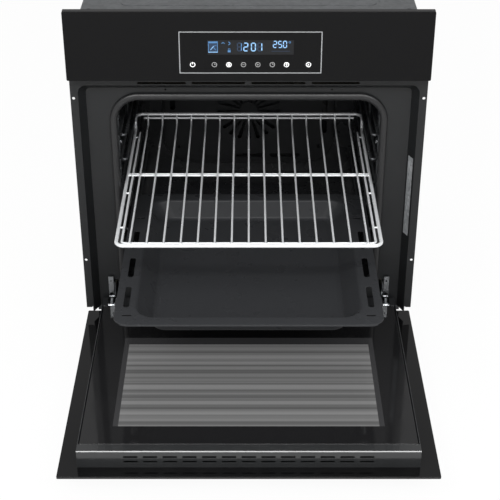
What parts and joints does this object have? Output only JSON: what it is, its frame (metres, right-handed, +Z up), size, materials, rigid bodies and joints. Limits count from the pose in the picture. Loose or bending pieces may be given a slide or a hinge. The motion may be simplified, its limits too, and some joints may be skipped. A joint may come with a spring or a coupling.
{
  "type": "wall oven",
  "caption": "Built-in electric wall oven with a black glass front, touch control panel, drop-down door open flat, chrome rack and dark baking tray drawn out of an enamelled cavity.",
  "frame": {"origin": "middle of the front, where the face plane of the side flanges meets the level of the casing's underside", "axes": "+X to the viewer's right, +Y back into the cabinet, +Z up"},
  "size_m": [0.595, 1.0155, 0.6414],
  "materials": {
    "black_glass": "polished, printed black on the back",
    "clear_glass": "clear float glass",
    "black_enamel": "black enamel on pressed steel, satin",
    "cavity_enamel": "glossy dark vitreous enamel",
    "galvanised_steel": "zinc coated sheet steel",
    "black_plastic": "moulded, fine matt texture",
    "black_door_metal": "black powder coat, satin",
    "silver_trim": "brushed, thin applied trim",
    "chrome_wire": "bright chrome plated wire",
    "seal_rubber": "smooth silicone, satin",
    "hinge_steel": "bright zinc plated",
    "spring_steel": "oiled spring wire",
    "heater_tube": "annealed, darkened by heat",
    "motor_steel": "laminated core, varnished",
    "fan_aluminium": "pressed sheet, bare",
    "circuit_board": "green epoxy board with parts",
    "terminal_plastic": "cream moulded insulator",
    "mineral_wool": "pressed mineral fibre blanket",
    "lamp_ceramic": "unglazed lamp holder",
    "lamp_bulb": "frosted bulb, not lit"
  },
  "bodies": {
    "casing": {"control_panel_glass": "black_glass", "lamp_glass": "clear_glass", "front_frame": "black_enamel", "cavity_muffle": "cavity_enamel", "fan_baffle": "cavity_enamel", "base_plate": "galvanised_steel", "left_side_panel": "galvanised_steel", "right_side_panel": "galvanised_steel", "top_cover": "galvanised_steel", "rear_cover": "galvanised_steel", "panel_bracket": "galvanised_steel", "air_divider": "galvanised_steel", "air_guide": "galvanised_steel", "blower_housing": "galvanised_steel", "panel_carrier": "black_plastic", "display_module": "black_plastic", "thermal_cutout": "black_plastic", "display_trim": "silver_trim", "rating_label": "silver_trim", "left_side_grid": "chrome_wire", "right_side_grid": "chrome_wire", "door_seal": "seal_rubber", "left_hinge_receiver": "hinge_steel", "right_hinge_receiver": "hinge_steel", "left_hinge_arm": "hinge_steel", "right_hinge_arm": "hinge_steel", "hinge_pins": "hinge_steel", "casing_screws": "hinge_steel", "grid_studs": "hinge_steel", "temperature_probe": "hinge_steel", "grill_element": "heater_tube", "bottom_element": "heater_tube", "ring_element": "heater_tube", "blower_motor": "motor_steel", "fan_motor": "motor_steel", "power_board": "circuit_board", "touch_board": "circuit_board", "terminal_block": "terminal_plastic", "insulation_wrap": "mineral_wool", "insulation_rear": "mineral_wool", "lamp_housing": "lamp_ceramic", "lamp_bulb": "lamp_bulb"},
    "door": {"door_outer_glass": "black_glass", "door_middle_glass": "clear_glass", "door_inner_glass": "black_glass", "left_door_column": "black_door_metal", "right_door_column": "black_door_metal", "door_top_cap": "black_door_metal", "door_bottom_rail": "black_door_metal", "door_handle": "black_door_metal", "hinge_channels": "hinge_steel", "hinge_springs": "spring_steel"},
    "left_hinge_slider": {"left_hinge_slider": "hinge_steel"},
    "right_hinge_slider": {"right_hinge_slider": "hinge_steel"},
    "left_lock_clip": {"left_lock_clip": "hinge_steel"},
    "right_lock_clip": {"right_lock_clip": "hinge_steel"},
    "rack": {"wire_rack": "chrome_wire"},
    "tray": {"baking_tray": "cavity_enamel"},
    "fan": {"fan_wheel": "fan_aluminium"},
    "blower": {"blower_wheel": "fan_aluminium"}
  },
  "joints": [
    {"name": "door_hinge", "type": "hinge", "parent": "casing", "child": "door", "pos_m": [0, 0.00305, 0.02265], "axis": [-1, 0, 0], "range_deg": [0, 90]},
    {"name": "rack_slide", "type": "slide", "parent": "casing", "child": "rack", "axis": [0, 1, 0], "range_m": [0, 0.207]},
    {"name": "tray_slide", "type": "slide", "parent": "casing", "child": "tray", "axis": [0, 1, 0], "range_m": [0, 0.3145]},
    {"name": "left_slider_travel", "type": "slide", "parent": "door", "child": "left_hinge_slider", "axis": [0, -1, 0], "range_m": [0, 0.018]},
    {"name": "right_slider_travel", "type": "slide", "parent": "door", "child": "right_hinge_slider", "axis": [0, -1, 0], "range_m": [0, 0.018]},
    {"name": "left_clip_flip", "type": "hinge", "parent": "casing", "child": "left_lock_clip", "pos_m": [-0.2515, 0.018, 0.033], "axis": [-1, 0, 0], "range_deg": [-60, 0]},
    {"name": "right_clip_flip", "type": "hinge", "parent": "casing", "child": "right_lock_clip", "pos_m": [0.2515, 0.018, 0.033], "axis": [-1, 0, 0], "range_deg": [-60, 0]},
    {"name": "fan_spin", "type": "hinge", "parent": "casing", "child": "fan", "pos_m": [0, 0.51, 0.193], "axis": [0, 1, 0], "continuous": true},
    {"name": "blower_spin", "type": "hinge", "parent": "casing", "child": "blower", "pos_m": [-0.01, 0.33, 0.48], "axis": [0, 0, 1], "continuous": true}
  ],
  "couplings": [
    {"joint": "rack_slide", "follows": "door_hinge", "m_per_rad": 0.1317},
    {"joint": "tray_slide", "follows": "door_hinge", "m_per_rad": 0.2002},
    {"joint": "left_slider_travel", "follows": "door_hinge", "m_per_rad": 0.01145},
    {"joint": "right_slider_travel", "follows": "door_hinge", "m_per_rad": 0.01145}
  ]
}
